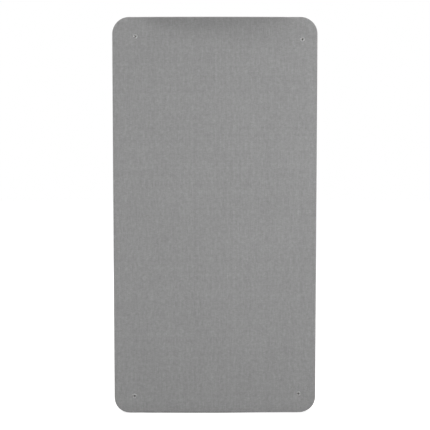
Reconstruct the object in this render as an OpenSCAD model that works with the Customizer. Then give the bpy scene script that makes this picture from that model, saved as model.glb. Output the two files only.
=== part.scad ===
// Wall punch pad: a plywood board carries a firm foam core and a softer strike foam,
// and one piece of woven fabric is stretched over them and stapled in a rebate round
// the board's back. Four metal eyelets in the cover, each backed by a spacer tube,
// take the wall screws. The pad stands upright, with its front towards -Y, and the
// origin is the centre of the board's back face, where it lies on the wall.

/* [Pad] */
// Width over the cover
pad_w = 610; // [560:5:700]
// Height over the cover
pad_h = 1190; // [1100:5:1300]
// Radius of the corners, seen from the front
corner_r = 50; // [44:1:70]
// Radius of the cover's front edge
edge_r = 5; // [3:0.5:8]

/* [Layers] */
// Thickness of the plywood board
board_t = 12; // [12:1:18]
// Thickness of the firm core foam
core_t = 24; // [15:1:40]
// Thickness of the softer strike foam
strike_t = 13; // [10:1:20]
// Thickness of the cover's fabric
fabric_t = 1; // [0.8:0.1:1.2]

/* [Hem and staples] */
// Depth of the rebate round the board's back, which the hem lies in
rebate_d = 2.6; // [2.2:0.1:3]
// Width of that rebate
rebate_w = 30; // [28:1:36]
// How far the hem reaches in from the pad's outline
hem_w = 26; // [22:1:27]
// Distance of the staples from the pad's outline
staple_inset = 14; // [12:1:16]
// Longest gap between two staples on a straight side
staple_pitch = 46; // [30:1:80]
// Staples round each corner
corner_staples = 3; // [2:1:5]
// Length of a staple's crown
crown_l = 10; // [8:0.5:12]
// Length of a staple's legs
leg_l = 8; // [6:0.5:9]

/* [Fixings] */
// Top left fixing, from the left edge
top_left_side = 69; // [45:1:80]
// Top left fixing, from the top edge
top_left_end = 58; // [50:1:80]
// Top right fixing, from the right edge
top_right_side = 45; // [43:1:80]
// Top right fixing, from the top edge
top_right_end = 66; // [50:1:80]
// Bottom left fixing, from the left edge
bottom_left_side = 61; // [45:1:80]
// Bottom left fixing, from the bottom edge
bottom_left_end = 52; // [50:1:80]
// Bottom right fixing, from the right edge
bottom_right_side = 51; // [45:1:80]
// Bottom right fixing, from the bottom edge
bottom_right_end = 59; // [50:1:80]
// Diameter of the way through for a wall screw
screw_way_d = 5; // [4.5:0.5:6]
// Diameter of an eyelet's flange
flange_d = 14; // [13:0.5:16]
// Diameter of a spacer tube
tube_d = 14; // [13:0.5:18]
// Diameter of the reinforcing patch behind each eyelet
patch_d = 36; // [30:1:44]

/* [Hidden] */
$fn = 96;
pad_t = board_t + core_t + strike_t + fabric_t;
core_front = board_t + core_t;
strike_front = core_front + strike_t;
way_r = screw_way_d / 2;

// Eyelet: a domed flange, a barrel through the fabric, and a rim curled outwards behind
// the washer.
flange_t = 1.2;
barrel_wall = 0.5;
barrel_r = way_r + barrel_wall;
curl_r = 0.6;
hole_gap = 0.1;

// Dimple: the fabric is drawn down to the eyelet, so that the flange stands no higher
// than the cover round it. Its floor is flat and its side is a shallow cone.
dimple_front = pad_t - flange_t;
dimple_back = dimple_front - fabric_t;
dimple_floor_r = flange_d / 2 + 1;
dimple_rim_r = patch_d / 2 + 2;

// Patch and washer behind the fabric
patch_t = 1;
patch_back = dimple_back - patch_t;
washer_t = 0.6;
washer_back = patch_back - washer_t;
washer_r = tube_d / 2 - 0.4;

// Spacer tube: seated in the board, with a counterbore at the front for the curled rim.
tube_seat = 4;
tube_gap = 0.2;
tube_chamfer = 0.6;
curl_seat_r = barrel_r + 2 * curl_r + 0.4;
curl_seat_d = 2 * curl_r + 0.6;

// Staple wire and the thickness of the hem under it
wire_t = 0.6;
wire_w = 1.2;
hem_back = rebate_d - fabric_t;

// Allowance by which a cutting shape passes the face that it cuts
past = 1;

// Every module below draws the pad lying on its back: X to the right, Y up the pad and
// Z out from the wall. upright() stands it up.
module upright() rotate([90, 0, 0]) children();

top_left = [-pad_w / 2 + top_left_side, pad_h / 2 - top_left_end];
top_right = [pad_w / 2 - top_right_side, pad_h / 2 - top_right_end];
bottom_left = [-pad_w / 2 + bottom_left_side, -pad_h / 2 + bottom_left_end];
bottom_right = [pad_w / 2 - bottom_right_side, -pad_h / 2 + bottom_right_end];
fixings = [top_left, top_right, bottom_left, bottom_right];

module at_fixings() for (p = fixings) translate(p) children();

// The pad's outline, moved inwards by inset
module outline(inset) {
    w = pad_w - 2 * inset;
    h = pad_h - 2 * inset;
    r = corner_r - inset;
    square([w - 2 * r, h], center = true);
    square([w, h - 2 * r], center = true);
    for (x = [-1, 1], y = [-1, 1]) translate([x * (w / 2 - r), y * (h / 2 - r)]) circle(r);
}

module slab(inset, back, front) translate([0, 0, back]) linear_extrude(front - back) outline(inset);

// A slab whose front edge is rounded to radius r
module soft_slab(inset, back, front, r) {
    slab(inset, back, front - r);
    slab(inset + r, front - r - past, front);
    half_w = pad_w / 2 - corner_r;
    half_h = pad_h / 2 - corner_r;
    out = corner_r - inset - r;
    for (x = [-1, 1]) translate([x * (half_w + out), half_h, front - r])
        rotate([90, 0, 0]) cylinder(r = r, h = 2 * half_h);
    for (y = [-1, 1]) translate([-half_w, y * (half_h + out), front - r])
        rotate([0, 90, 0]) cylinder(r = r, h = 2 * half_w);
    for (k = [0:3]) {
        x = (k == 0 || k == 3) ? half_w : -half_w;
        y = k < 2 ? half_h : -half_h;
        translate([x, y, front - r]) rotate(90 * k)
            rotate_extrude(angle = 90) translate([out, 0]) circle(r);
    }
}

module disc(r, back, front) translate([0, 0, back]) cylinder(r = r, h = front - back);

// What the dimple takes out of a surface that is level with front round it
module dimple(front) {
    rise = flange_t + fabric_t / 2;
    slope = (dimple_rim_r - dimple_floor_r) / flange_t;
    translate([0, 0, front - flange_t])
        cylinder(r1 = dimple_floor_r, r2 = dimple_floor_r + slope * rise, h = rise);
}

module ring(outer_r, inner_r, back, front) difference() {
    disc(outer_r, back, front);
    disc(inner_r, back - past, front + past);
}

// One staple, its crown along X and its legs pointing into the board
module staple() {
    translate([-crown_l / 2, -wire_w / 2, hem_back - wire_t]) cube([crown_l, wire_w, wire_t]);
    staple_legs();
}

module staple_legs() for (x = [-1, 1])
    translate([x * (crown_l - wire_t) / 2 - wire_t / 2, -wire_w / 2, hem_back - wire_t])
        cube([wire_t, wire_w, leg_l + wire_t]);

// Puts its children at every staple's place in the hem
module at_staples() {
    half_w = pad_w / 2 - corner_r;
    half_h = pad_h / 2 - corner_r;
    line_x = pad_w / 2 - staple_inset;
    line_y = pad_h / 2 - staple_inset;
    across = ceil(2 * half_w / staple_pitch);
    along = ceil(2 * half_h / staple_pitch);
    for (i = [0:across], side = [-1, 1])
        translate([-half_w + 2 * half_w * i / across, side * line_y]) children();
    for (i = [0:along], side = [-1, 1])
        translate([side * line_x, -half_h + 2 * half_h * i / along]) rotate(90) children();
    for (x = [-1, 1], y = [-1, 1], i = [1:corner_staples]) {
        a = 90 * i / (corner_staples + 1);
        r = corner_r - staple_inset;
        translate([x * (half_w + r * cos(a)), y * (half_h + r * sin(a))])
            rotate(x * y * a + 90) children();
    }
}

module backboard() color("burlywood") difference() {
    slab(fabric_t, 0, board_t);
    difference() {
        slab(0, -past, rebate_d);
        slab(rebate_w, -2 * past, rebate_d + past);
    }
    at_fixings() {
        disc(way_r, -past, board_t + past);
        disc(tube_d / 2 + hole_gap, board_t - tube_seat, board_t + past);
    }
    at_staples() staple_legs();
}

module core_foam() color("dimgray") difference() {
    slab(fabric_t, board_t, core_front);
    at_fixings() disc(tube_d / 2 + tube_gap, board_t - past, core_front + past);
}

module strike_foam() color("lightslategray") difference() {
    soft_slab(fabric_t, core_front, strike_front, edge_r - fabric_t);
    at_fixings() {
        disc(tube_d / 2 + tube_gap, core_front - past, strike_front + past);
        disc(patch_d / 2 + tube_gap, patch_back, strike_front + past);
        dimple(strike_front);
    }
}

module cover() color("gray") difference() {
    union() {
        difference() {
            soft_slab(0, hem_back, pad_t, edge_r);
            soft_slab(fabric_t, rebate_d, strike_front, edge_r - fabric_t);
            slab(hem_w, hem_back - past, rebate_d + past);
        }
        at_fixings() dimple(strike_front);
    }
    at_fixings() {
        dimple(pad_t);
        disc(barrel_r + hole_gap, dimple_back - past, pad_t + past);
    }
    at_staples() staple_legs();
}

module hem_staples() color("silver") at_staples() staple();

module eyelet() color("silver") {
    mid_r = (way_r + flange_d / 2) / 2;
    half_w = (flange_d / 2 - way_r) / 2;
    dome_r = (half_w * half_w + flange_t * flange_t) / (2 * flange_t);
    rotate_extrude() intersection() {
        translate([mid_r, dimple_front + flange_t - dome_r]) circle(dome_r);
        translate([way_r, dimple_front]) square([2 * half_w, flange_t + past]);
    }
    ring(barrel_r, way_r, washer_back - curl_r, dimple_front + 0.2);
    rotate_extrude() translate([barrel_r + curl_r - 0.15, washer_back - curl_r]) circle(curl_r);
}

module eyelet_washer() color("gainsboro") ring(washer_r, barrel_r + hole_gap, washer_back, patch_back);

module patch() color("saddlebrown") ring(patch_d / 2, barrel_r + hole_gap, patch_back, dimple_back);

module spacer_tube() color("whitesmoke") difference() {
    r = tube_d / 2;
    back = board_t - tube_seat;
    union() {
        translate([0, 0, back]) cylinder(r1 = r - tube_chamfer, r2 = r, h = tube_chamfer);
        disc(r, back + tube_chamfer, washer_back);
    }
    disc(way_r, back - past, washer_back + past);
    disc(curl_seat_r, washer_back - curl_seat_d, washer_back + past);
}

upright() backboard();
upright() core_foam();
upright() strike_foam();
upright() cover();
upright() hem_staples();
upright() translate(top_left) eyelet();  // eyelet_top_left
upright() translate(top_right) eyelet();  // eyelet_top_right
upright() translate(bottom_left) eyelet();  // eyelet_bottom_left
upright() translate(bottom_right) eyelet();  // eyelet_bottom_right
upright() translate(top_left) eyelet_washer();  // eyelet_washer_top_left
upright() translate(top_right) eyelet_washer();  // eyelet_washer_top_right
upright() translate(bottom_left) eyelet_washer();  // eyelet_washer_bottom_left
upright() translate(bottom_right) eyelet_washer();  // eyelet_washer_bottom_right
upright() translate(top_left) patch();  // patch_top_left
upright() translate(top_right) patch();  // patch_top_right
upright() translate(bottom_left) patch();  // patch_bottom_left
upright() translate(bottom_right) patch();  // patch_bottom_right
upright() translate(top_left) spacer_tube();  // spacer_tube_top_left
upright() translate(top_right) spacer_tube();  // spacer_tube_top_right
upright() translate(bottom_left) spacer_tube();  // spacer_tube_bottom_left
upright() translate(bottom_right) spacer_tube();  // spacer_tube_bottom_right
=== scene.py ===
import math

import bmesh
import bpy
import numpy as np
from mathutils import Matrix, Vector
from mathutils.geometry import delaunay_2d_cdt


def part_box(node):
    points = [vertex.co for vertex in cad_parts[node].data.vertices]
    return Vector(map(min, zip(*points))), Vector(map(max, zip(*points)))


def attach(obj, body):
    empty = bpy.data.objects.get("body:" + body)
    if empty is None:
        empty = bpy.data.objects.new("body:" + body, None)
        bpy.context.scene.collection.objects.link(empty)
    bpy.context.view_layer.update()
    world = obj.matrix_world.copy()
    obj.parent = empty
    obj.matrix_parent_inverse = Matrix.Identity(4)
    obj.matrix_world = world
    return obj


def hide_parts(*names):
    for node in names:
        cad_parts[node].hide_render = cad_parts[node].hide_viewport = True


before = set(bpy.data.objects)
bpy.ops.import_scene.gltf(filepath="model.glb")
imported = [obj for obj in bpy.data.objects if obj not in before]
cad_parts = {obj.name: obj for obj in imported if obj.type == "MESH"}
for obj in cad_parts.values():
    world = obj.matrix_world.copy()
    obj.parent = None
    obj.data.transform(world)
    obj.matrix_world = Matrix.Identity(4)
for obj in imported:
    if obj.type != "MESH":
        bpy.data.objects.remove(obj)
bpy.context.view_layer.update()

# The pad stands upright with its back on the plane y = 0, the wall, and faces along -Y.
MM = 0.001

CORNERS = ("top_left", "top_right", "bottom_left", "bottom_right")


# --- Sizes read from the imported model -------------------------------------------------

def centre_of(node):
    """The middle of a node, seen from the front."""
    low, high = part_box(node)
    return np.array([(low.x + high.x) / 2, (low.z + high.z) / 2])


def radius_of(node):
    low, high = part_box(node)
    return (high.x - low.x) / 2


def corner_radius():
    """The outline's corner radius: its straight sides end that far below the top."""
    points = np.array([v.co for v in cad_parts["cover"].data.vertices])
    on_side = points[:, 0] > HALF_W - 0.01 * MM
    return HALF_H - points[on_side, 2].max()


# Depths are measured out from the wall.
COVER_LOW, COVER_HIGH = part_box("cover")
BOARD_LOW, BOARD_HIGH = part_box("backboard")
CORE_LOW, CORE_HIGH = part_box("core_foam")
STRIKE_LOW, STRIKE_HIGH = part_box("strike_foam")
PATCH_LOW, PATCH_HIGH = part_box("patch_top_left")
HALF_W = COVER_HIGH.x
HALF_H = COVER_HIGH.z
CORNER_R = corner_radius()
FRONT = -COVER_LOW.y
HEM_BACK = -COVER_HIGH.y
BOARD_T = -BOARD_LOW.y
FABRIC_T = COVER_HIGH.x - BOARD_HIGH.x
PATCH_BACK = -PATCH_HIGH.y
PATCH_FRONT = -PATCH_LOW.y
FIXINGS = [centre_of("eyelet_" + corner) for corner in CORNERS]
FLANGE_R = radius_of("eyelet_top_left")
TUBE_R = radius_of("spacer_tube_top_left")
PATCH_R = radius_of("patch_top_left")


# --- How the soft parts are made ------------------------------------------------------

# The cover: its front edge, its turn round the board's back edge, how far the hem
# reaches in, its holes, the flat fabric round an eyelet's flange, and the dimple's radius
EDGE_R = 5 * MM
BACK_EDGE_R = 1.3 * MM
HEM_W = 26 * MM
HOLE_R = 3.1 * MM
FLAT_RIM = 0.8 * MM
DIMPLE_R = 3 * FLANGE_R

# The cover's mesh: rows round the front edge, down the side, round the back edge and over
# the hem, and rings round a fixing
GRID = 12 * MM
CORNER_POINTS = 32
FEWEST_POINTS = 20
FRONT_ARC = 3
SIDE_ROWS = 4
BACK_ARC = 2
HEM_ROWS = 5
RING_POINTS = 20
COVER_RINGS = (HOLE_R, 5 * MM, FLANGE_R + 0.5 * MM, 10 * MM, 13 * MM, 17 * MM, 22 * MM)

# The foams: their mesh, the core's front edge, the room round tubes and patches, and the
# depth below the front that still counts as the front
FOAM_GRID = 20 * MM
FOAM_CORNER_POINTS = 16
FOAM_ARC = 4
FOAM_SIDE_ROWS = 3
FOAM_RING = 6 * MM
CORE_EDGE_R = 1 * MM
FIT = 0.2 * MM
FRONT_SKIN = 0.5 * MM

# The cloth simulation, the flat cloth held round a flange, how far the front and the
# sides may move, and the width over which the one limit passes into the other
CLOTH = {"quality": 5, "mass": 0.4, "tension_stiffness": 40, "compression_stiffness": 40,
         "shear_stiffness": 20, "bending_stiffness": 2, "use_pressure": True,
         "uniform_pressure_force": 4}
LAST_FRAME = 20
HELD_RIM = 1 * MM
FRONT_SWELL = 1.3 * MM
SIDE_SWELL = 0.8 * MM
SOFTNESS = 6 * MM
SIDE_RISE = 4 * MM

# How far the foams give, beyond the board's depth: waves on the front, which die out at
# its edge and near a fixing, the bow of the ends and sides, the draw at the lower right,
# and how much fuller than an arc the bottom left, bottom right, top left and top right
# corners are
SOFT_RISE = 14 * MM
FOAM_UNEVEN = 0.2 * MM
CALM_EDGE = 12 * MM
CALM_RIM = (FLANGE_R + 2 * MM, 4 * FLANGE_R)
END_BOW = 1.5 * MM
SIDE_BOW = 1.2 * MM
BOW_REACH = 60 * MM
DRAWN_IN = 1.3 * MM
CORNER_FULL = (2.0 * MM, 0.9 * MM, 0.0, 0.0)
CORNER_REACH = 40 * MM

# Gathers round each corner: their number, the least share of the full height, where a
# fold is highest, and where on the side they start and on the hem they end. The hem's
# folds, its lift between staples, and the wander of its raw edge
FOLDS = 8
LOWEST_FOLD = 0.55
FOLD_TOP = 0.7
GATHER = 0.6 * MM
GATHER_START = 8 * MM
GATHER_END = 4 * MM
HEM_FOLD = 1.0 * MM
HEM_LIFT = 0.25 * MM
RAW_EDGE = 0.7 * MM
RAW_EDGE_W = 9 * MM

# A staple's points lie within this reach of each other, and the hem is held down near it
# and free further away
STAPLE_REACH = 15 * MM
STAPLE_HOLD = (4 * MM, 14 * MM)


# --- Looks ----------------------------------------------------------------------------

FABRIC_GREY = (0.282, 0.282, 0.282)
YARN = 1.1 * MM
PLY = BOARD_T / 9
BIRCH = (0.66, 0.49, 0.31)
BIRCH_DARK = (0.50, 0.33, 0.175)
CORE_COLOUR = (0.045, 0.046, 0.05)
CORE_CELL = 0.9 * MM
STRIKE_COLOUR = (0.17, 0.175, 0.185)
STRIKE_CELL = 1.6 * MM
NICKEL = (0.46, 0.46, 0.46)
NICKEL_DULL = (0.38, 0.38, 0.375)
ZINC = (0.93, 0.94, 0.96)
ZINC_DUSTY = (0.72, 0.72, 0.72)
NYLON = (0.9, 0.89, 0.87)
TAPE = (0.085, 0.087, 0.092)
TAPE_YARN = 1.2 * MM

# The floor's half side, its gap below the pad, its colour and its glow to the camera
FLOOR_SIDE = 40.0
FLOOR_GAP = 0.4 * MM
FLOOR_GREY = 0.7
FLOOR_GLOW = 0.75

# The surround's strength at a low and a high direction (1 is straight up)
SURROUND = 0.325
LOW_GLOW = (-0.2, SURROUND * 0.45)
HIGH_GLOW = (0.9, SURROUND * 1.5)

# Each lamp's place, size and power
LIGHTS = {"right_light": ((1.45, -0.9, 0.6), 1.2, 13.7),
          "left_light": ((-2.0, -1.3, 1.7), 1.2, 24.6),
          "front_light": ((-0.05, -2.3, 0.15), 0.6, 11.8),
          "back_light": ((-1.5, 2.6, 1.6), 1.8, 30)}

# The net that shades the top edge: a half ellipse in front of it
NET_W = 0.22
NET_D = 0.07
NET_GAP = 3 * MM
NET_DROP = 1 * MM
NET_POINTS = 32
NET_SHADE = 0.5

# The camera, measured from the point on the pad's front that it looks at
CAMERA_AIM = Vector((0.45 * MM, -FRONT, 7.0 * MM))
CAMERA_DISTANCE = 1.784
CAMERA_TILT = math.radians(2.2)
LENS = 49.8
SENSOR = 36


# --- The outline, and sheets that fill it ---------------------------------------------

def steps(low, high, step):
    """Even values from low up to but not including high, about a step apart."""
    return np.linspace(low, high, max(1, round((high - low) / step)), endpoint=False)


def outline(step, corner_points):
    """Points once round the pad's outline, their outward normals, and how far each lies
    through its corner: 0 to 1 on a corner, and -1 on a straight side."""
    points, normals, turns = [], [], []
    x, z = HALF_W - CORNER_R, HALF_H - CORNER_R
    ends = [(x, -z), (x, z), (-x, z), (-x, -z), (x, -z)]
    for quarter in range(4):
        start = np.array(ends[quarter])
        along = np.array(ends[quarter + 1]) - start
        normal = np.array([math.cos(quarter * math.pi / 2), math.sin(quarter * math.pi / 2)])
        length = np.linalg.norm(along)
        for t in steps(0, 1, step / length):
            points.append(start + t * along + CORNER_R * normal)
            normals.append(normal)
            turns.append(-1)
        centre = np.array(ends[quarter + 1])
        for t in steps(0, 1, 1 / corner_points):
            angle = (quarter + t) * math.pi / 2
            normal = np.array([math.cos(angle), math.sin(angle)])
            points.append(centre + CORNER_R * normal)
            normals.append(normal)
            turns.append(t)
    return np.array(points), np.array(normals), np.array(turns)


def inside(points):
    """How far points lie inside the outline."""
    q = np.abs(points) - [HALF_W - CORNER_R, HALF_H - CORNER_R]
    beyond = np.linalg.norm(np.maximum(q, 0), axis=1)
    return CORNER_R - beyond - np.minimum(q.max(axis=1), 0)


def from_fixing(points):
    """Distance of points from the nearest fixing."""
    return np.min([np.linalg.norm(points - f, axis=1) for f in FIXINGS], axis=0)


def circle(centre, radius):
    """Points round a circle."""
    angles = np.arange(RING_POINTS) * 2 * math.pi / RING_POINTS
    return centre + radius * np.stack([np.cos(angles), np.sin(angles)], axis=1)


def corner_arcs(inset, count):
    """Points on the four corners' arcs only, moved inwards by inset."""
    edge, normal, turn = outline(GRID, count)
    return (edge - inset * normal)[turn >= 0]


def grid_lines(half, inset, step):
    """Lines that meet the outline's points on its straight sides."""
    straight = half - CORNER_R
    corner = steps(straight, half - inset, step)[1:]
    return np.concatenate([-corner[::-1], steps(-straight, straight, step), [straight], corner])


def sheet(inset, radii, step, corner_points):
    """A flat sheet that fills the outline moved in by inset, with a round hole at each
    fixing and rings round it. Returns its points, triangles, rim and holes' rims."""
    edge, normal, _ = outline(step, corner_points)
    rim = edge - inset * normal
    parts = [rim]
    holes = []
    count = len(rim)
    for fixing in FIXINGS:
        holes.append(np.arange(count, count + RING_POINTS))
        for radius in radii:
            parts.append(circle(fixing, radius))
            count += RING_POINTS
    support = inset
    while corner_points > FEWEST_POINTS:
        corner_points //= 2
        support += CORNER_R * math.pi / 2 / corner_points
        parts.append(corner_arcs(support, corner_points))
    lines_x, lines_z = grid_lines(HALF_W, inset, step), grid_lines(HALF_H, inset, step)
    grid = np.stack(np.meshgrid(lines_x, lines_z), axis=-1).reshape(-1, 2)
    clear = inside(grid) > inset + 0.5 * step
    corner = (np.abs(grid) > [HALF_W - CORNER_R, HALF_H - CORNER_R]).all(axis=1)
    clear &= ~corner | (inside(grid) > support + 0.5 * step)
    clear &= from_fixing(grid) > radii[-1] + 0.5 * step
    parts.append(grid[clear])
    points = np.vstack(parts)
    found = delaunay_2d_cdt([Vector(p) for p in points], [], [], 0, 1e-9)
    source = [group[0] for group in found[3]]
    triangles = np.array([[source[i] for i in face] for face in found[2]])
    a, b, c = (points[triangles[:, k]] for k in range(3))
    area = np.cross(b - a, c - a) / 2
    middle = (a + b + c) / 3
    keep = (np.abs(area) > 1e-9) & (from_fixing(middle) > radii[0] * 0.999)
    triangles = np.where(area[:, None] > 0, triangles, triangles[:, ::-1])[keep]
    return points, triangles, np.arange(len(rim)), holes


class Skin:
    """Points and faces gathered into one mesh, whose faces look out of the pad."""

    def __init__(self):
        self.points = np.zeros((0, 3))
        self.faces = []

    def add(self, flat, depth):
        """Adds points (x, z) that stand depth out from the wall, and returns their numbers."""
        first = len(self.points)
        placed = np.column_stack([flat[:, 0], np.broadcast_to(-depth, len(flat)), flat[:, 1]])
        self.points = np.vstack([self.points, placed])
        return np.arange(first, len(self.points))

    def bridge(self, row, following):
        """Joins two closed rows with quads."""
        a, b = np.roll(row, -1), np.roll(following, -1)
        self.faces += np.stack([row, following, b, a], axis=1).tolist()

    def object(self, name):
        mesh = bpy.data.meshes.new(name)
        mesh.from_pydata(self.points.tolist(), [], self.faces)
        piece = bpy.data.objects.new(name, mesh)
        bpy.context.scene.collection.objects.link(piece)
        return piece


def to_quads(piece):
    """Joins pairs of triangles into quads where they make a good one, and smooths shading."""
    bm = bmesh.new()
    bm.from_mesh(piece.data)
    triangles = [f for f in bm.faces if len(f.verts) == 3]
    bmesh.ops.join_triangles(bm, faces=triangles, angle_face_threshold=math.radians(30),
                             angle_shape_threshold=math.radians(40))
    bmesh.ops.recalc_face_normals(bm, faces=bm.faces)
    for face in bm.faces:
        face.smooth = True
    bm.to_mesh(piece.data)
    bm.free()


def smooth_step(low, high, value):
    """0 up to low, 1 from high on, and a smooth rise between them."""
    t = np.clip((value - low) / (high - low), 0, 1)
    return t * t * (3 - 2 * t)


# --- The cover ------------------------------------------------------------------------

def cover_profile():
    """The cover's rows from the front's edge round to the hem's raw edge, each as its
    inset from the outline, its depth, and its length along the fabric."""
    rows = []
    for k in range(1, FRONT_ARC + 1):
        angle = k * math.pi / (2 * FRONT_ARC)
        rows.append((EDGE_R * (1 - math.sin(angle)), FRONT - EDGE_R * (1 - math.cos(angle))))
    turn_in = HEM_BACK + BACK_EDGE_R
    for depth in np.linspace(FRONT - EDGE_R, turn_in, SIDE_ROWS + 1)[1:]:
        rows.append((0, depth))
    for k in range(1, BACK_ARC + 1):
        angle = k * math.pi / (2 * BACK_ARC)
        rows.append((BACK_EDGE_R * (1 - math.cos(angle)), turn_in - BACK_EDGE_R * math.sin(angle)))
    for inset in np.linspace(BACK_EDGE_R, HEM_W, HEM_ROWS + 1)[1:]:
        rows.append((inset, HEM_BACK))
    ends = np.array([(EDGE_R, FRONT)] + rows)
    length = np.cumsum(np.linalg.norm(np.diff(ends, axis=0), axis=1))
    return [(inset, depth, s) for (inset, depth), s in zip(rows, length)]


# Lengths along the fabric from the outline, as it would lie flat: the side's front and
# back edges, the hem's fold and its raw edge
ROWS = cover_profile()
SIDE_START = EDGE_R * (math.pi / 2 - 1)
SIDE_END = ROWS[FRONT_ARC + SIDE_ROWS - 1][2] - EDGE_R
HEM_START = ROWS[FRONT_ARC + SIDE_ROWS + BACK_ARC - 1][2] - EDGE_R
HEM_END = ROWS[-1][2] - EDGE_R


def dimple(points):
    """How deep the cover's front is drawn down, because of the eyelets."""
    floor = FRONT - PATCH_FRONT - FABRIC_T
    return floor * (1 - smooth_step(FLANGE_R + FLAT_RIM, DIMPLE_R, from_fixing(points)))


def staple_places():
    """The middle of each staple in the hem."""
    points = coordinates(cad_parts["hem_staples"].data)[:, [0, 2]]
    places = []
    while len(points):
        near = np.linalg.norm(points - points[0], axis=1) < STAPLE_REACH
        places.append(points[near].mean(axis=0))
        points = points[~near]
    return np.array(places)


def flat_cover():
    """The cover's outer face as one tight sheet, with each point's place on the fabric as
    it lay flat kept in its attribute weave."""
    points, triangles, rim, _ = sheet(EDGE_R, COVER_RINGS, GRID, CORNER_POINTS)
    skin = Skin()
    skin.add(points, FRONT - dimple(points))
    skin.faces += triangles.tolist()
    edge, normal, _ = outline(GRID, CORNER_POINTS)
    weave = [points]
    last = rim
    for inset, depth, length in ROWS:
        row = skin.add(edge - inset * normal, depth)
        skin.bridge(last, row)
        weave.append(edge + (length - EDGE_R) * normal)
        last = row
    piece = skin.object("cover_fabric")
    flat = np.vstack(weave)
    attribute = piece.data.attributes.new("weave", "FLOAT_VECTOR", "POINT")
    values = np.column_stack([flat, np.zeros(len(flat))]).astype(np.float32)
    attribute.data.foreach_set("vector", values.ravel())
    to_quads(piece)
    return piece


def weave_of(mesh):
    """Each point's place on the fabric as it lay flat."""
    values = np.zeros(len(mesh.vertices) * 3, np.float32)
    mesh.attributes["weave"].data.foreach_get("vector", values)
    return values.reshape(-1, 3)[:, :2].astype(float)


def coordinates(mesh):
    """The mesh's points, one to a row."""
    values = np.zeros(len(mesh.vertices) * 3)
    mesh.vertices.foreach_get("co", values)
    return values.reshape(-1, 3)


def set_coordinates(mesh, values):
    mesh.vertices.foreach_set("co", values.ravel())
    mesh.update()


def apply_modifiers(piece):
    """Makes the evaluated mesh the piece's own."""
    graph = bpy.context.evaluated_depsgraph_get()
    graph.update()
    mesh = bpy.data.meshes.new_from_object(piece.evaluated_get(graph), depsgraph=graph)
    piece.modifiers.clear()
    piece.data = mesh


def swell(piece):
    """Lets the foam's pressure fill the stretched fabric, as a cloth simulation, and caps
    how far a point moves, as the foam behind it would."""
    mesh = piece.data
    before = coordinates(mesh)
    flat = weave_of(mesh)
    beyond = -inside(flat)
    held = (beyond > SIDE_END - 0.1 * MM) | (from_fixing(flat) < FLANGE_R + HELD_RIM)
    group = piece.vertex_groups.new(name="held")
    group.add(np.flatnonzero(held).tolist(), 1.0, "REPLACE")
    cloth = piece.modifiers.new("Cloth", "CLOTH")
    for name, value in CLOTH.items():
        setattr(cloth.settings, name, value)
    cloth.settings.vertex_group_mass = "held"
    cloth.settings.effector_weights.gravity = 0
    scene = bpy.context.scene
    for number in range(1, LAST_FRAME + 1):
        scene.frame_set(number)
    graph = bpy.context.evaluated_depsgraph_get()
    moved = coordinates(piece.evaluated_get(graph).data) - before
    piece.modifiers.clear()
    scene.frame_set(1)
    length = np.linalg.norm(moved, axis=1)[:, None] + 1e-9
    on_side = smooth_step(-EDGE_R, SIDE_START + SIDE_RISE, beyond)[:, None]
    cap = FRONT_SWELL * (1 - on_side) + SIDE_SWELL * on_side
    moved *= cap * (1 - np.exp(-length / SOFTNESS)) / length
    set_coordinates(mesh, before + moved)


def ripples(flat, waves, shortest, longest, seed):
    """A smooth seeded unevenness between about -1 and 1."""
    draw = np.random.RandomState(seed)
    total = np.zeros(len(flat))
    for _ in range(waves):
        angle = draw.uniform(0, 2 * math.pi)
        pitch = draw.uniform(shortest, longest)
        phase = draw.uniform(0, 2 * math.pi)
        along = flat @ [math.cos(angle), math.sin(angle)]
        total += np.sin(2 * math.pi * along / pitch + phase)
    return total / math.sqrt(2 * waves)


def corner_turn(flat):
    """0 to 1 through a corner, or -1 on a straight side, and which corner it is."""
    q = np.abs(flat) - [HALF_W - CORNER_R, HALF_H - CORNER_R]
    turn = np.arctan2(q[:, 1], q[:, 0]) / (math.pi / 2)
    which = (flat[:, 0] > 0) + 2 * (flat[:, 1] > 0)
    return np.where((q > 0).all(axis=1), turn, -1), which


def fold_shape(flat):
    """0 between the corners' folds to 1 on a fold: each rises slowly and drops steeply."""
    turn, which = corner_turn(flat)
    draw = np.random.RandomState(seed=3)
    heights = draw.uniform(LOWEST_FOLD, 1, (len(CORNERS), FOLDS))
    number = np.clip(np.floor(turn * FOLDS), 0, FOLDS - 1).astype(int)
    across = turn * FOLDS - number
    rise = np.sin(np.clip(across / FOLD_TOP, 0, 1) * math.pi / 2) ** 2
    drop = np.cos(np.clip((across - FOLD_TOP) / (1 - FOLD_TOP), 0, 1) * math.pi / 2) ** 2
    return np.where(turn >= 0, rise * drop * heights[which, number], 0)


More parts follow.
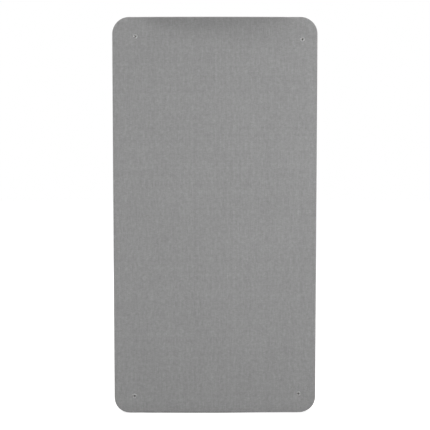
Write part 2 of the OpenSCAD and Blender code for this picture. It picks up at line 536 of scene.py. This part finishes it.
def add_unevenness(piece):
    """Slight waves on the front, the outline's bow, the gathers round the corners, the
    hem's folds and lift between its staples, and the wander of its raw edge."""
    mesh = piece.data
    points = coordinates(mesh)
    flat = weave_of(mesh)
    beyond = -inside(flat)
    outward = outward_of(flat)
    front = 1 - smooth_step(-CALM_EDGE, SIDE_START, beyond)
    calm = smooth_step(*CALM_RIM, from_fixing(flat))
    waves = ripples(flat, waves=14, shortest=55 * MM, longest=170 * MM, seed=5)
    points[:, 1] -= FOAM_UNEVEN * waves * front * calm
    points[:, [0, 2]] += bow(flat) * softness(points)
    folds = fold_shape(flat)
    on_side = beyond < HEM_START + GATHER_END
    gather = smooth_step(SIDE_START + GATHER_START, SIDE_END, beyond) * on_side
    points[:, [0, 2]] += (GATHER * folds * gather)[:, None] * outward
    near = np.min([np.linalg.norm(points[:, [0, 2]] - p, axis=1) for p in staple_places()], axis=0)
    free = smooth_step(*STAPLE_HOLD, near)
    on_hem = smooth_step(HEM_START, HEM_END, beyond)
    points[:, 1] += on_hem * free * (HEM_FOLD * folds + HEM_LIFT)
    raw_edge = smooth_step(HEM_END - RAW_EDGE_W, HEM_END, beyond)
    wander = ripples(flat, waves=12, shortest=14 * MM, longest=60 * MM, seed=9)
    points[:, [0, 2]] += (RAW_EDGE * raw_edge * wander)[:, None] * outward
    set_coordinates(mesh, points)


def outward_of(flat):
    """Outward normal of the outline nearest to each point."""
    q = np.abs(flat) - [HALF_W - CORNER_R, HALF_H - CORNER_R]
    q = np.where((q > 0).all(axis=1)[:, None], q, (q >= q.max(axis=1)[:, None]).astype(float))
    q = q * np.sign(flat)
    return q / (np.linalg.norm(q, axis=1)[:, None] + 1e-12)


def softness(points):
    """0 in the board's depth, rising to 1 in the foams, which give."""
    return smooth_step(BOARD_T, BOARD_T + SOFT_RISE, -points[:, 1])[:, None]


def bow(flat):
    """How far the foam stands out at the ends and sides, most in their middles. The lower
    end is drawn in a little on its right, and the lower corners are fuller than an arc."""
    across, up = np.minimum(np.abs(flat) / [HALF_W, HALF_H], 1).T
    near_side = smooth_step(HALF_W - BOW_REACH, HALF_W, np.abs(flat[:, 0]))
    near_end = smooth_step(HALF_H - BOW_REACH, HALF_H, np.abs(flat[:, 1]))
    out = np.column_stack([SIDE_BOW * (1 - up ** 6) * near_side,
                           END_BOW * (1 - across ** 2) * near_end])
    lower_right = smooth_step(0, HALF_W / 2, flat[:, 0]) * (flat[:, 1] < 0)
    out[:, 1] -= DRAWN_IN * lower_right * near_end
    turn, which = corner_turn(flat)
    near_rim = smooth_step(-CORNER_REACH, 0, -inside(flat))
    full = np.where(turn >= 0, np.sin(turn * math.pi) ** 2, 0) * near_rim
    full *= np.array(CORNER_FULL)[which]
    return out * np.sign(flat) + full[:, None] * outward_of(flat)


def make_cover():
    """The fabric cover, swelled, bowed and gathered, and then given its thickness."""
    piece = flat_cover()
    swell(piece)
    finer = piece.modifiers.new("Subdivision", "SUBSURF")
    finer.levels = 1
    finer.render_levels = 1
    apply_modifiers(piece)
    add_unevenness(piece)
    thick = piece.modifiers.new("Thickness", "SOLIDIFY")
    thick.thickness = FABRIC_T
    thick.offset = -1
    apply_modifiers(piece)
    for face in piece.data.polygons:
        face.use_smooth = True
    piece.data.materials.append(fabric())
    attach(piece, "root")
    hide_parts("cover")


# --- The foams ------------------------------------------------------------------------

def slab(name, inset, back, front, edge_r, bores):
    """A closed slab with the pad's outline and a bore at each fixing. bores gives a bore's
    profile from the front face to the back one, as radii and depths."""
    edge, normal, _ = outline(FOAM_GRID, FOAM_CORNER_POINTS)
    skin = Skin()
    tops, triangles, rim, holes = sheet(inset + edge_r, [bores[0][0], bores[0][0] + FOAM_RING],
                                        FOAM_GRID, FOAM_CORNER_POINTS)
    skin.add(tops, front)
    skin.faces += triangles.tolist()
    last = rim
    for k in range(1, FOAM_ARC + 1):
        angle = k * math.pi / (2 * FOAM_ARC)
        row = skin.add(edge - (inset + edge_r * (1 - math.sin(angle))) * normal,
                       front - edge_r * (1 - math.cos(angle)))
        skin.bridge(last, row)
        last = row
    for depth in np.linspace(front - edge_r, back, FOAM_SIDE_ROWS + 1)[1:-1]:
        row = skin.add(edge - inset * normal, depth)
        skin.bridge(last, row)
        last = row
    rings = [bores[-1][0], bores[-1][0] + FOAM_RING]
    unders, triangles, under_rim, under_holes = sheet(inset, rings, FOAM_GRID, FOAM_CORNER_POINTS)
    under = skin.add(unders, back)
    skin.faces += under[triangles[:, ::-1]].tolist()
    skin.bridge(last, under[under_rim])
    for fixing, top, bottom in zip(FIXINGS, holes, under_holes):
        last = top
        for radius, depth in bores[1:-1]:
            row = skin.add(circle(fixing, radius), depth)
            skin.bridge(row, last)
            last = row
        skin.bridge(under[bottom], last)
    piece = skin.object(name)
    to_quads(piece)
    return piece


def fit_foam(piece, node, look):
    """Bows a slab with the pad's outline, and puts it in a foam node's place."""
    points = coordinates(piece.data)
    points[:, [0, 2]] += bow(points[:, [0, 2]]) * softness(points)
    set_coordinates(piece.data, points)
    piece.data.materials.append(look)
    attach(piece, "root")
    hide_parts(node)


def make_foams():
    """The core, a plain slab, and the strike foam, hollowed for the patches and drawn
    down round the eyelets."""
    inset = HALF_W - CORE_HIGH.x
    tube = TUBE_R + FIT
    core = slab("core_foam_slab", inset, -CORE_HIGH.y, -CORE_LOW.y, CORE_EDGE_R,
                [(tube, -CORE_LOW.y), (tube, -CORE_HIGH.y)])
    hollow = PATCH_R + FIT
    front = -STRIKE_LOW.y
    strike = slab("strike_foam_slab", inset, -STRIKE_HIGH.y, front, EDGE_R - inset,
                  [(hollow, front), (hollow, PATCH_BACK), (tube, PATCH_BACK), (tube, -STRIKE_HIGH.y)])
    points = coordinates(strike.data)
    on_front = points[:, 1] < -front + FRONT_SKIN
    points[on_front, 1] += dimple(points[on_front][:, [0, 2]])
    set_coordinates(strike.data, points)
    core_look = core_foam()
    strike_look = strike_foam()
    fit_foam(core, "core_foam", core_look)
    fit_foam(strike, "strike_foam", strike_look)


# --- Materials ------------------------------------------------------------------------

class Shader:
    """A node material with a Principled shader, and short calls that add nodes to it."""

    def __init__(self, name):
        self.material = bpy.data.materials.new(name)
        self.material.use_nodes = True
        self.tree = self.material.node_tree
        self.surface = self.tree.nodes["Principled BSDF"]

    def add(self, kind, inputs=None, **settings):
        """Adds a node of a kind, with values or links for its inputs."""
        node = self.tree.nodes.new("ShaderNode" + kind)
        for name, value in settings.items():
            setattr(node, name, value)
        for name, value in (inputs or {}).items():
            self.put(node.inputs[name], value)
        return node

    def put(self, socket, value):
        """Links a node's output to a socket, or gives the socket a plain value."""
        if isinstance(value, bpy.types.NodeSocket):
            self.tree.links.new(value, socket)
        else:
            socket.default_value = value

    def put_colour(self, socket, value):
        self.put(socket, (*value, 1) if isinstance(value, tuple) else value)

    def set(self, **values):
        """Sets inputs of the Principled shader, with _ for a space in their names."""
        for name, value in values.items():
            self.put(self.surface.inputs[name.replace("_", " ")], value)

    def math(self, operation, a, b=0.0, c=0.0):
        node = self.add("Math", {0: a, 1: b, 2: c}, operation=operation)
        return node.outputs[0]

    def stretch(self, place, scale):
        """A place, in metres, divided by a size on each axis."""
        return self.add("Mapping", {"Vector": place, "Scale": scale}).outputs[0]

    def noise(self, place, sizes, detail=2.0, roughness=0.5, seed=0.0):
        """Noise from 0 to 1 whose blots have these sizes, in metres."""
        scaled = self.stretch(place, [1 / size for size in sizes])
        moved = self.add("VectorMath", {0: scaled, 1: (seed, seed * 1.7, seed * 2.3)}, operation="ADD")
        node = self.add("TexNoise", {"Vector": moved.outputs[0], "Scale": 1.0, "Detail": detail,
                                     "Roughness": roughness})
        return node.outputs["Fac"]

    def between(self, value, low, high, start=0.0, end=1.0):
        """Value, from start to end, brought to low to high."""
        node = self.add("MapRange", {"Value": value, "From Min": start, "From Max": end,
                                     "To Min": low, "To Max": high})
        return node.outputs[0]

    def mix(self, share, first, second):
        """A colour between first at 0 and second at 1."""
        node = self.add("Mix", data_type="RGBA")
        self.put(node.inputs[0], share)
        self.put_colour(node.inputs[6], first)
        self.put_colour(node.inputs[7], second)
        return node.outputs[2]

    def tint(self, colour, factor):
        """A colour made lighter or darker by a factor."""
        grey = self.add("CombineColor", {"Red": factor, "Green": factor, "Blue": factor})
        node = self.add("Mix", data_type="RGBA", blend_type="MULTIPLY")
        self.put(node.inputs[0], 1.0)
        self.put_colour(node.inputs[6], colour)
        self.put(node.inputs[7], grey.outputs[0])
        return node.outputs[2]

    def bump(self, height, distance, strength):
        """Relief from a height of 0 to 1, this far from low to high, in metres."""
        node = self.add("Bump", {"Height": height, "Distance": distance, "Strength": strength})
        self.set(Normal=node.outputs[0])


def fabric():
    """Heather grey woven fabric. Its pattern follows the cloth as it lay flat."""
    s = Shader("heather_fabric")
    place = s.add("Attribute", attribute_name="weave").outputs["Vector"]
    axes = s.add("SeparateXYZ", {0: place})
    warp = s.math("MULTIPLY", axes.outputs["X"], math.pi / YARN)
    weft = s.math("MULTIPLY", axes.outputs["Y"], math.pi / YARN)
    over = s.math("MULTIPLY", s.math("SINE", warp), s.math("SINE", weft))
    warp_round = s.math("ABSOLUTE", s.math("SINE", warp))
    weft_round = s.math("ABSOLUTE", s.math("SINE", weft))
    side = s.between(over, 0.0, 1.0, -0.35, 0.35)
    warp_part = s.math("MULTIPLY", warp_round, side)
    weft_part = s.math("MULTIPLY", weft_round, s.math("SUBTRACT", 1.0, side))
    yarn_height_and_shade = s.math("ADD", warp_part, weft_part)
    warp_tone = s.noise(place, (2.1 * MM, 28 * MM, 1), detail=2.0, seed=37.0)
    weft_tone = s.noise(place, (8 * MM, 2.1 * MM, 1), detail=2.0, seed=41.0)
    yarn_tone = s.add("Mix", {0: side, 2: weft_tone, 3: warp_tone}).outputs[0]
    fibre = s.noise(place, (0.4 * MM, 1.0 * MM, 1), detail=3.0, seed=2.0)
    flecks = s.noise(place, (8 * MM, 10 * MM, 1), detail=1.0, seed=7.0)
    slub = s.noise(place, (11 * MM, 34 * MM, 1), detail=2.0, seed=11.0)
    streak = s.noise(place, (9 * MM, 2.5, 1), detail=2.0, roughness=0.6, seed=17.0)
    weft_streak = s.noise(place, (2.5, 12 * MM, 1), detail=2.0, roughness=0.6, seed=29.0)
    cloud = s.noise(place, (110 * MM, 140 * MM, 1), detail=2.0, seed=23.0)
    tone = s.between(fibre, 0.8, 1.2)
    for value, reach in ((yarn_tone, 0.34), (flecks, 0.13), (slub, 0.065), (streak, 0.07),
                         (weft_streak, 0.05), (cloud, 0.04)):
        tone = s.math("MULTIPLY", tone, s.between(value, 1 - reach, 1 + reach))
    # Painted shade and highlight: the gaps between yarns are painted darker and the yarn crowns
    # lighter, from the same height as the bump.
    tone = s.math("MULTIPLY", tone, s.between(yarn_height_and_shade, 0.84, 1.1))
    s.set(Base_Color=s.tint(FABRIC_GREY, tone), Roughness=s.between(fibre, 0.82, 0.98))
    s.set(Sheen_Weight=0.25, Sheen_Roughness=0.5)
    s.set(Specular_IOR_Level=0.25)
    height = s.math("ADD", yarn_height_and_shade, s.math("MULTIPLY", fibre, 0.35))
    s.bump(height, 0.16 * MM, 0.8)
    return s.material


def plywood():
    """Birch plywood: long grain up the pad, a few darker bands and small pin marks."""
    s = Shader("plywood")
    place = s.add("TexCoord").outputs["Object"]
    warp = s.noise(place, (60 * MM, 60 * MM, 500 * MM), detail=2.0, seed=4.0)
    shift = s.math("MULTIPLY", s.math("SUBTRACT", warp, 0.5), 60 * MM)
    axes = s.add("SeparateXYZ", {0: place})
    bent = s.add("CombineXYZ", {"X": s.math("ADD", axes.outputs["X"], shift),
                                "Y": axes.outputs["Y"], "Z": axes.outputs["Z"]}).outputs[0]
    rings = s.noise(bent, (11 * MM, 11 * MM, 420 * MM), detail=3.0, roughness=0.6, seed=9.0)
    broad = s.noise(bent, (70 * MM, 70 * MM, 900 * MM), detail=1.0, seed=13.0)
    pores = s.noise(place, (0.7 * MM, 0.7 * MM, 14 * MM), detail=2.0, seed=19.0)
    colour = s.mix(s.between(rings, 0, 1, 0.35, 0.68), BIRCH, BIRCH_DARK)
    tone = s.math("MULTIPLY", s.between(broad, 0.88, 1.1), s.between(pores, 0.9, 1.08))
    layer = s.math("FLOOR", s.math("MULTIPLY_ADD", axes.outputs["Y"], 1 / PLY, 0.25))
    crossed = s.math("FLOORED_MODULO", layer, 2.0)
    tone = s.math("MULTIPLY", tone, s.between(crossed, 1.0, 0.55))
    s.set(Base_Color=s.tint(colour, tone), Roughness=s.between(rings, 0.55, 0.72))
    s.set(Specular_IOR_Level=0.35)
    s.bump(s.math("ADD", pores, s.math("MULTIPLY", rings, 0.5)), 0.12 * MM, 0.6)
    return s.material


def foam(name, colour, cell):
    """Cut foam: open cells of this size, in a mottled tone."""
    s = Shader(name)
    place = s.add("TexCoord").outputs["Object"]
    cells = s.add("TexVoronoi", {"Vector": place, "Scale": 1 / cell, "Randomness": 1.0})
    cloud = s.noise(place, (20 * MM, 20 * MM, 20 * MM), detail=3.0)
    depth = s.between(cells.outputs["Distance"], 1.1, 0.75, 0.0, 0.7)
    tone = s.math("MULTIPLY", depth, s.between(cloud, 0.85, 1.15))
    s.set(Base_Color=s.tint(colour, tone), Roughness=s.between(cloud, 0.85, 1.0))
    s.bump(cells.outputs["Distance"], 0.4 * MM, 0.7)
    return s.material


def core_foam():
    return foam("core_foam", CORE_COLOUR, CORE_CELL)


def strike_foam():
    return foam("strike_foam", STRIKE_COLOUR, STRIKE_CELL)


def nickel():
    """Nickel plate, lightly brushed round by handling, duller in random blots."""
    s = Shader("nickel")
    place = s.add("TexCoord").outputs["Object"]
    stain = s.noise(place, (3 * MM, 3 * MM, 3 * MM), detail=4.0, seed=3.0)
    scuff = s.noise(place, (0.3 * MM, 0.3 * MM, 2.5 * MM), detail=3.0, seed=8.0)
    colour = s.mix(s.between(stain, 0, 1, 0.4, 0.75), NICKEL, NICKEL_DULL)
    s.set(Base_Color=colour, Metallic=1.0)
    s.set(Roughness=s.math("ADD", s.between(stain, 0.42, 0.56), s.between(scuff, -0.06, 0.1)))
    s.bump(scuff, 0.02 * MM, 0.4)
    return s.material


def staple_wire():
    """Galvanised staple wire: pale zinc with dull spangles."""
    s = Shader("staple_wire")
    place = s.add("TexCoord").outputs["Object"]
    spangle = s.add("TexVoronoi", {"Vector": place, "Scale": 1 / (1.5 * MM)})
    shade = s.add("SeparateColor", {0: spangle.outputs["Color"]}).outputs[0]
    dust = s.noise(place, (8 * MM, 8 * MM, 8 * MM), detail=3.0, seed=5.0)
    colour = s.mix(dust, ZINC, ZINC_DUSTY)
    s.set(Base_Color=colour, Metallic=0.9, Roughness=s.between(shade, 0.25, 0.45))
    s.bump(dust, 0.02 * MM, 0.5)
    return s.material


def nylon():
    """White moulded nylon with a fine drawn grain along the tube."""
    s = Shader("nylon")
    place = s.add("TexCoord").outputs["Object"]
    drawn = s.noise(place, (0.4 * MM, 9 * MM, 0.4 * MM), detail=2.0, seed=6.0)
    cloud = s.noise(place, (6 * MM, 6 * MM, 6 * MM), detail=2.0, seed=10.0)
    s.set(Base_Color=s.tint(NYLON, s.between(cloud, 0.95, 1.03)))
    s.set(Roughness=s.between(drawn, 0.38, 0.6))
    s.bump(drawn, 0.03 * MM, 0.5)
    return s.material


def webbing():
    """Dark woven tape, in a plain weave."""
    s = Shader("webbing")
    place = s.add("TexCoord").outputs["Object"]
    axes = s.add("SeparateXYZ", {0: place})
    across = s.math("SINE", s.math("MULTIPLY", axes.outputs["X"], math.pi / TAPE_YARN))
    along = s.math("SINE", s.math("MULTIPLY", axes.outputs["Z"], math.pi / TAPE_YARN))
    yarn_height_and_shade = s.math("ABSOLUTE", s.math("MULTIPLY", across, along))
    fuzz = s.noise(place, (0.5 * MM, 0.5 * MM, 0.5 * MM), detail=3.0, seed=12.0)
    # Painted shade and highlight: the weave's gaps are painted darker and its crowns lighter, from the
    # same height as the bump; the fuzz is the tape's own mottling.
    tone = s.math("MULTIPLY", s.between(yarn_height_and_shade, 0.6, 1.2), s.between(fuzz, 0.8, 1.2))
    s.set(Base_Color=s.tint(TAPE, tone), Roughness=s.between(fuzz, 0.8, 1.0))
    s.bump(yarn_height_and_shade, 0.25 * MM, 0.8)
    return s.material


def dress(node, material):
    """Gives a CAD node its material."""
    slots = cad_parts[node].material_slots
    for each in slots:
        each.link = "OBJECT"
        each.material = material


def dress_cad_nodes():
    metal, tube, tape = nickel(), nylon(), webbing()
    dress("backboard", plywood())
    dress("hem_staples", staple_wire())
    for corner in CORNERS:
        dress("eyelet_" + corner, metal)
        dress("eyelet_washer_" + corner, metal)
        dress("spacer_tube_" + corner, tube)
        dress("patch_" + corner, tape)


# --- Floor, light and camera ----------------------------------------------------------

def make_floor():
    """A pale floor that the pad stands on, light enough to meet the white backdrop."""
    height = -HALF_H - END_BOW - FLOOR_GAP
    signs = ((-1, -1), (1, -1), (1, 1), (-1, 1))
    corners = [(x * FLOOR_SIDE, y * FLOOR_SIDE, height) for x, y in signs]
    mesh = bpy.data.meshes.new("floor")
    mesh.from_pydata(corners, [], [(0, 1, 2, 3)])
    floor = bpy.data.objects.new("floor", mesh)
    bpy.context.scene.collection.objects.link(floor)
    s = Shader("floor")
    seen = s.add("LightPath").outputs["Is Camera Ray"]
    s.set(Base_Color=(FLOOR_GREY, FLOOR_GREY, FLOOR_GREY, 1), Roughness=0.9)
    s.set(Emission_Color=(1, 1, 1, 1), Emission_Strength=s.math("MULTIPLY", seen, FLOOR_GLOW))
    s.set(Specular_IOR_Level=0.1)
    mesh.materials.append(s.material)


def make_world():
    """A studio's surround, brightest overhead and dimmer towards the floor. To the camera
    it is plain white."""
    world = bpy.data.worlds.new("studio")
    world.use_nodes = True
    tree = world.node_tree
    background = tree.nodes["Background"]
    place = tree.nodes.new("ShaderNodeTexCoord")
    axes = tree.nodes.new("ShaderNodeSeparateXYZ")
    glow = tree.nodes.new("ShaderNodeMapRange")
    seen = tree.nodes.new("ShaderNodeLightPath")
    strength = tree.nodes.new("ShaderNodeMix")
    tree.links.new(place.outputs["Generated"], axes.inputs[0])
    tree.links.new(axes.outputs["Z"], glow.inputs["Value"])
    glow.inputs["From Min"].default_value, glow.inputs["To Min"].default_value = LOW_GLOW
    glow.inputs["From Max"].default_value, glow.inputs["To Max"].default_value = HIGH_GLOW
    strength.inputs[3].default_value = 1.0
    tree.links.new(seen.outputs["Is Camera Ray"], strength.inputs[0])
    tree.links.new(glow.outputs[0], strength.inputs[2])
    tree.links.new(strength.outputs[0], background.inputs["Strength"])
    background.inputs["Color"].default_value = (1, 1, 1, 1)
    bpy.context.scene.world = world


def make_light(name, place, size, power):
    """A square soft light that points at the pad's middle."""
    lamp = bpy.data.lights.new(name, "AREA")
    lamp.size = size
    lamp.energy = power
    light = bpy.data.objects.new(name, lamp)
    light.location = place
    light.rotation_euler = (-Vector(place)).to_track_quat("-Z", "Y").to_euler()
    bpy.context.scene.collection.objects.link(light)


def make_net():
    """A half-open net, unseen by the camera, that shades the middle of the top edge."""
    turns = np.linspace(0, math.pi, NET_POINTS)
    x = NET_W * np.cos(turns)
    y = -FRONT - NET_GAP - NET_D * np.sin(turns)
    z = np.full(NET_POINTS, HALF_H - NET_DROP)
    mesh = bpy.data.meshes.new("flag")
    mesh.from_pydata(np.column_stack([x, y, z]).tolist(), [], [list(range(NET_POINTS))])
    net = bpy.data.objects.new("flag", mesh)
    net.visible_camera = False
    bpy.context.scene.collection.objects.link(net)
    s = Shader("flag")
    s.set(Base_Color=(0.05, 0.05, 0.05, 1), Roughness=1.0, Alpha=NET_SHADE)
    mesh.materials.append(s.material)


def make_camera():
    """Nearly square to the pad's front, from a little above its middle."""
    lens = bpy.data.cameras.new("camera")
    lens.lens = LENS
    lens.sensor_width = SENSOR
    camera = bpy.data.objects.new("camera", lens)
    towards = Vector((0, math.cos(CAMERA_TILT), -math.sin(CAMERA_TILT)))
    camera.location = CAMERA_AIM - CAMERA_DISTANCE * towards
    camera.rotation_euler = towards.to_track_quat("-Z", "Y").to_euler()
    bpy.context.scene.collection.objects.link(camera)
    bpy.context.scene.camera = camera


def make_stage():
    """Floor, surround, lights, net and camera, seen through the plain view transform."""
    make_floor()
    make_world()
    for name, (place, size, power) in LIGHTS.items():
        make_light(name, place, size, power)
    make_net()
    make_camera()
    bpy.context.scene.view_settings.view_transform = "Standard"
    bpy.context.scene.view_settings.look = "None"


make_cover()
make_foams()
dress_cad_nodes()
make_stage()
